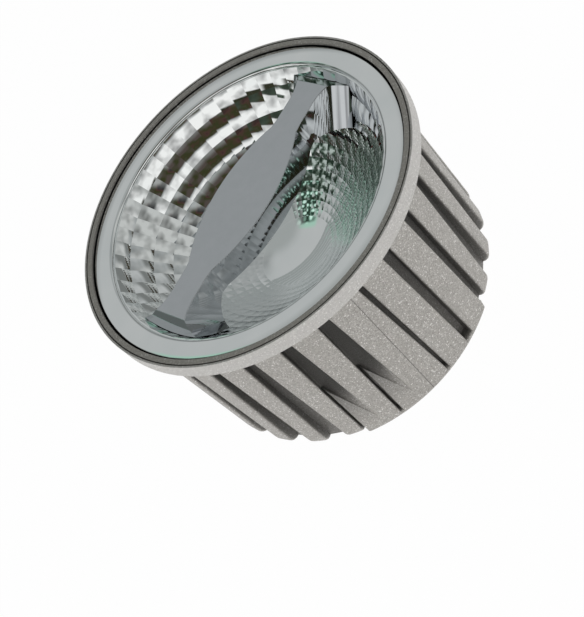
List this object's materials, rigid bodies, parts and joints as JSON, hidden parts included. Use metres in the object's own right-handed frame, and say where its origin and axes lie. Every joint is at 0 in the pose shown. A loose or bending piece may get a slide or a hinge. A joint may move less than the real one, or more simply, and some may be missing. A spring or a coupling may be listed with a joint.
{
  "type": "led module",
  "caption": "Round LED module: ribbed die-cast heat sink with a front rim, faceted mirror bowl, and a bridge across the mouth whose light source faces back into the bowl.",
  "frame": {"origin": "centre of the rear cover's rear face", "axes": "+Z along the module's axis, the way the light leaves; +X along the bridge"},
  "size_m": [0.05, 0.05, 0.0296],
  "materials": {
    "cast_aluminium": "grit-blasted silver casting with a fine sparkle",
    "mirror_coat": "metallised mirror finish",
    "bright_plate": "bright plated",
    "screw_steel": "zinc plated",
    "pad_grey": "soft heat-conducting pad",
    "mask_white": "white solder mask",
    "dam_white": "white silicone",
    "phosphor": "pale yellow-green phosphor in silicone",
    "lead_red": "wire insulation",
    "lead_black": "wire insulation",
    "lid_natural": "insulating sheet",
    "board_green": "glass-fibre board with green solder mask",
    "package_black": "moulded package",
    "ferrite": "ferrite",
    "package_yellow": "moulded package",
    "chip_tan": "ceramic chip",
    "socket_white": "moulded nylon",
    "contact_brass": "plated brass",
    "black_plastic": "moulded black, fine matt grain"
  },
  "bodies": {
    "root": {"heat_sink": "cast_aluminium", "reflector": "mirror_coat", "led_bridge": "bright_plate", "bridge_screws": "screw_steel", "thermal_pad": "pad_grey", "led_board": "mask_white", "led_dam": "dam_white", "led_phosphor": "phosphor", "lead_positive": "lead_red", "lead_negative": "lead_black", "insulating_lid": "lid_natural", "driver_board": "board_green", "bridge_rectifier": "package_black", "driver_chip": "package_black", "power_inductor": "ferrite", "input_capacitor": "package_yellow", "output_capacitor": "package_yellow", "flyback_diode": "package_black", "sense_resistors": "package_black", "ceramic_capacitors": "chip_tan", "input_socket": "socket_white", "socket_contacts": "contact_brass", "rear_cover": "black_plastic", "cover_screws": "screw_steel"}
  },
  "joints": []
}
